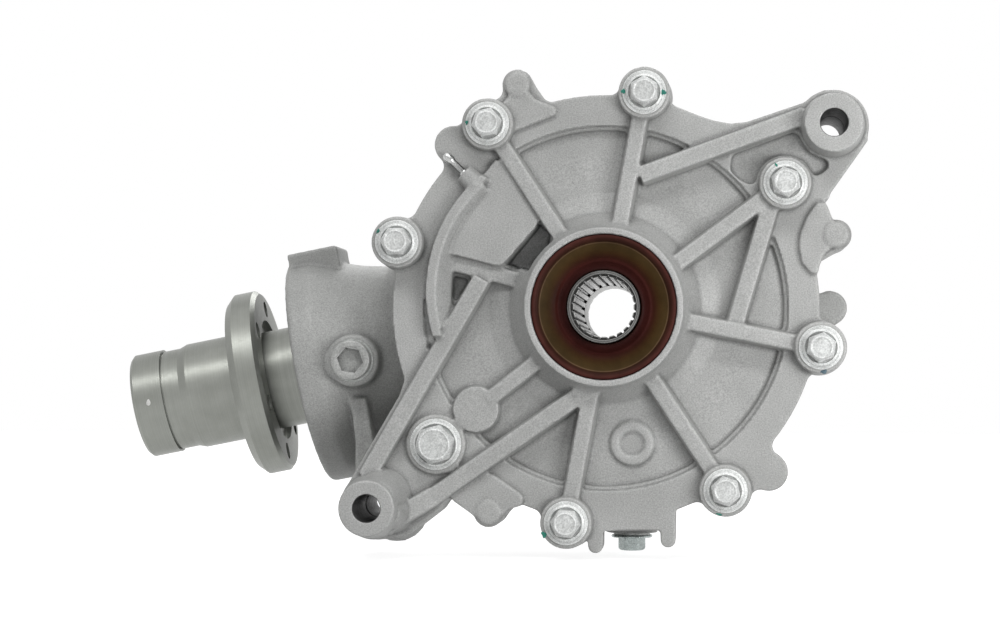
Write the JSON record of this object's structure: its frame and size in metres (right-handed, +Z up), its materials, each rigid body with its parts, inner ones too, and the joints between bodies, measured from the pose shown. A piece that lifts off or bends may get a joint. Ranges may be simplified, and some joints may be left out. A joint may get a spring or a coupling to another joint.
{
  "type": "rear differential",
  "caption": "Ribbed alloy drive case with a spiral bevel gear pair, a splined through hub, shaft seals and a flanged input coupling.",
  "frame": {"origin": "crossing of the output axis and the pinion axis, inside the splined bore", "axes": "+Y along the output axis, away from the cover; +Z up, away from the drain plug; +X to the right seen from the cover, away from the input coupling"},
  "size_m": [0.3735, 0.1755, 0.2355],
  "materials": {
    "case_alloy": "sand-cast grey alloy, matte",
    "cover_alloy": "die-cast alloy, bead blasted, matte",
    "gasket": "thin dark joint gasket",
    "zinc_steel": "bright zinc plate",
    "plug_steel": "zinc plate, slightly dark",
    "soft_washer": "soft sealing washer",
    "filler_alloy": "satin plug",
    "seal_red": "dark red coated seal case",
    "seal_brown": "olive brown oil-resistant rubber",
    "seal_black": "black oil-resistant rubber",
    "spring_steel": "drawn wire",
    "turned_steel": "fine turned steel, satin",
    "gear_steel": "ground and oiled gear steel",
    "bearing_steel": "polished bearing steel",
    "cage_brass": "machined cage"
  },
  "bodies": {
    "housing": {"main_case": "case_alloy", "side_cover": "cover_alloy", "cover_gasket": "gasket", "dowel_pins": "bearing_steel", "cover_bolts": "zinc_steel", "large_cover_bolt": "zinc_steel", "breather_nipple": "zinc_steel", "drain_plug": "plug_steel", "drain_washer": "soft_washer", "filler_plug": "filler_alloy", "filler_seal_ring": "soft_washer", "front_seal_case": "seal_red", "front_seal_lip": "seal_brown", "front_seal_spring": "spring_steel", "rear_seal_case": "seal_red", "rear_seal_lip": "seal_brown", "rear_seal_spring": "spring_steel", "front_bearing_outer_race": "bearing_steel", "rear_bearing_outer_race": "bearing_steel", "pinion_inner_bearing_outer_race": "bearing_steel", "pinion_outer_bearing_outer_race": "bearing_steel", "pinion_seal_case": "seal_red", "pinion_seal_lip": "seal_black", "pinion_seal_spring": "spring_steel"},
    "hub": {"drive_hub": "turned_steel", "ring_gear": "gear_steel", "ring_gear_bolts": "gear_steel", "front_bearing_inner_race": "bearing_steel", "rear_bearing_inner_race": "bearing_steel"},
    "pinion": {"pinion_shaft": "gear_steel", "pinion_inner_bearing_inner_race": "bearing_steel", "pinion_spacer": "bearing_steel", "pinion_outer_bearing_inner_race": "bearing_steel", "coupling_flange": "turned_steel", "coupling_nut": "gear_steel", "coupling_nut_washer": "gear_steel"},
    "front_cage": {"front_bearing_balls": "bearing_steel", "front_bearing_cage": "cage_brass"},
    "rear_cage": {"rear_bearing_balls": "bearing_steel", "rear_bearing_cage": "cage_brass"},
    "pinion_inner_cage": {"pinion_inner_bearing_balls": "bearing_steel", "pinion_inner_bearing_cage": "cage_brass"},
    "pinion_outer_cage": {"pinion_outer_bearing_balls": "bearing_steel", "pinion_outer_bearing_cage": "cage_brass"}
  },
  "joints": [
    {"name": "hub_spin", "type": "hinge", "parent": "housing", "child": "hub", "pos_m": [0, 0, 0], "axis": [0, 1, 0], "continuous": true},
    {"name": "pinion_spin", "type": "hinge", "parent": "housing", "child": "pinion", "pos_m": [0, 0, 0], "axis": [-0.9803, 0, -0.1977], "continuous": true},
    {"name": "front_cage_spin", "type": "hinge", "parent": "housing", "child": "front_cage", "pos_m": [0, 0, 0], "axis": [0, 1, 0], "continuous": true},
    {"name": "rear_cage_spin", "type": "hinge", "parent": "housing", "child": "rear_cage", "pos_m": [0, 0, 0], "axis": [0, 1, 0], "continuous": true},
    {"name": "pinion_inner_cage_spin", "type": "hinge", "parent": "housing", "child": "pinion_inner_cage", "pos_m": [0, 0, 0], "axis": [-0.9803, 0, -0.1977], "continuous": true},
    {"name": "pinion_outer_cage_spin", "type": "hinge", "parent": "housing", "child": "pinion_outer_cage", "pos_m": [0, 0, 0], "axis": [-0.9803, 0, -0.1977], "continuous": true}
  ],
  "couplings": [
    {"joint": "pinion_spin", "follows": "hub_spin", "ratio": 3.6364},
    {"joint": "front_cage_spin", "follows": "hub_spin", "ratio": 0.40167},
    {"joint": "rear_cage_spin", "follows": "hub_spin", "ratio": 0.40167},
    {"joint": "pinion_inner_cage_spin", "follows": "hub_spin", "ratio": 1.4606},
    {"joint": "pinion_outer_cage_spin", "follows": "hub_spin", "ratio": 1.4466}
  ]
}
